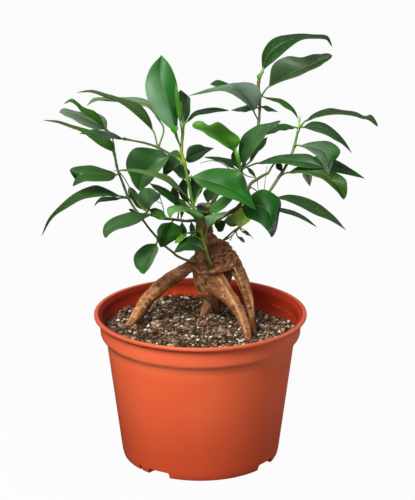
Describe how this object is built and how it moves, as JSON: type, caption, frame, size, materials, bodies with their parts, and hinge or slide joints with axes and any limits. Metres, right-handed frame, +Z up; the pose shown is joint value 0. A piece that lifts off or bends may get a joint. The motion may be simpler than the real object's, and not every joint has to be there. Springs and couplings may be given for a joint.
{
  "type": "ginseng ficus",
  "caption": "Small indoor ficus with a stilted, swollen rootstock, leafy upright shoots and glossy oval leaves, growing in soil in a round tapered nursery pot with a collar.",
  "frame": {"origin": "centre of the pot's foot, on the surface the pot stands on", "axes": "+Z up along the pot's axis, -Y towards the viewer of the pictured side, +X to that viewer's right"},
  "size_m": [0.2349, 0.152, 0.2994],
  "materials": {
    "pot": "satin",
    "soil": "matte",
    "bark": "satin",
    "green_stem": "satin",
    "brown_stem": "satin",
    "leaf": "gloss",
    "young_leaf": "gloss",
    "shaded_leaf": "gloss"
  },
  "bodies": {
    "root": {"pot": "pot", "soil": "soil", "rootstock": "bark", "stem_left": "green_stem", "stem_centre": "green_stem", "stem_upper_right": "brown_stem", "stem_right": "green_stem", "stem_brown": "brown_stem", "stem_short_left": "green_stem", "leaf_upright": "leaf", "leaf_behind_upright": "shaded_leaf", "leaf_long_left": "leaf", "leaf_grey_left": "leaf", "leaf_young_left": "young_leaf", "leaf_grey_pointed": "leaf", "leaf_left_arch": "leaf", "leaf_left_side_on": "leaf", "leaf_large_left": "leaf", "leaf_left_level": "leaf", "leaf_left_drooping": "leaf", "leaf_left_low": "leaf", "leaf_lowest_left": "leaf", "leaf_low_centre": "leaf", "leaf_on_trunk": "leaf", "leaf_pale_short": "young_leaf", "leaf_along_stem": "young_leaf", "leaf_pale_arch": "young_leaf", "leaf_dark_left": "shaded_leaf", "leaf_back_pair_right": "shaded_leaf", "leaf_back_pair_left": "shaded_leaf", "leaf_dark_back_left": "shaded_leaf", "leaf_top": "shaded_leaf", "leaf_second_top": "leaf", "leaf_long_centre": "leaf", "leaf_thin_arch": "leaf", "leaf_back_of_fork": "shaded_leaf", "leaf_bright_blunt": "young_leaf", "leaf_large_grey": "leaf", "leaf_behind_grey": "shaded_leaf", "leaf_dark_band": "shaded_leaf", "leaf_far_right_high": "leaf", "leaf_right_arch": "leaf", "leaf_pale_right": "leaf", "leaf_right_level": "leaf", "leaf_right_dark_tip": "shaded_leaf", "leaf_right_hanging": "leaf", "leaf_small_hanging": "leaf", "leaf_front": "leaf", "leaf_front_right": "leaf", "leaf_right_low": "leaf", "leaf_right_thin": "leaf", "leaf_thin_back": "shaded_leaf", "leaf_young_upper": "young_leaf", "leaf_cup_left": "young_leaf", "leaf_cup_right": "young_leaf", "leaf_inner_right": "leaf", "leaf_small_dark": "shaded_leaf", "leaf_olive": "young_leaf", "leaf_inner_back": "shaded_leaf"}
  },
  "joints": []
}
